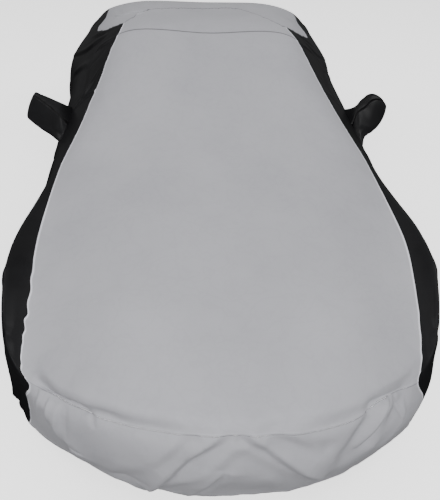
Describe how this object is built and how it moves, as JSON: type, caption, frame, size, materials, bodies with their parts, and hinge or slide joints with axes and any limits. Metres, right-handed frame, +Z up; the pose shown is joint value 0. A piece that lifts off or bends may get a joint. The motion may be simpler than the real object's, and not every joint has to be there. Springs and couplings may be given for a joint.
{
  "type": "car cover",
  "caption": "Fitted fabric cover that drapes a whole car: grey bonnet, windscreen and roof panels, black side panels, a grey front skirt and pockets for the door mirrors.",
  "frame": {"origin": "inner face of the cloth at the middle of the roof, where the car's roof carries the cover; the ground is 1.2285 m below it", "axes": "+Z up, +Y from the car's nose towards its tail, +X towards the picture's right, which is the car's left side"},
  "size_m": [2.289, 4.5172, 1.0733],
  "materials": {
    "grey_cloth": "matt coated woven polyester, mid grey",
    "black_cloth": "satin stretch polyester, black"
  },
  "bodies": {
    "root": {"front_skirt": "grey_cloth", "top_panel": "grey_cloth", "roof_band": "grey_cloth", "rear_panel": "grey_cloth", "side_panel_left": "black_cloth", "side_panel_right": "black_cloth", "mirror_pocket_left_front": "black_cloth", "mirror_pocket_left_top": "black_cloth", "mirror_pocket_right_front": "black_cloth", "mirror_pocket_right_top": "black_cloth"}
  },
  "joints": []
}
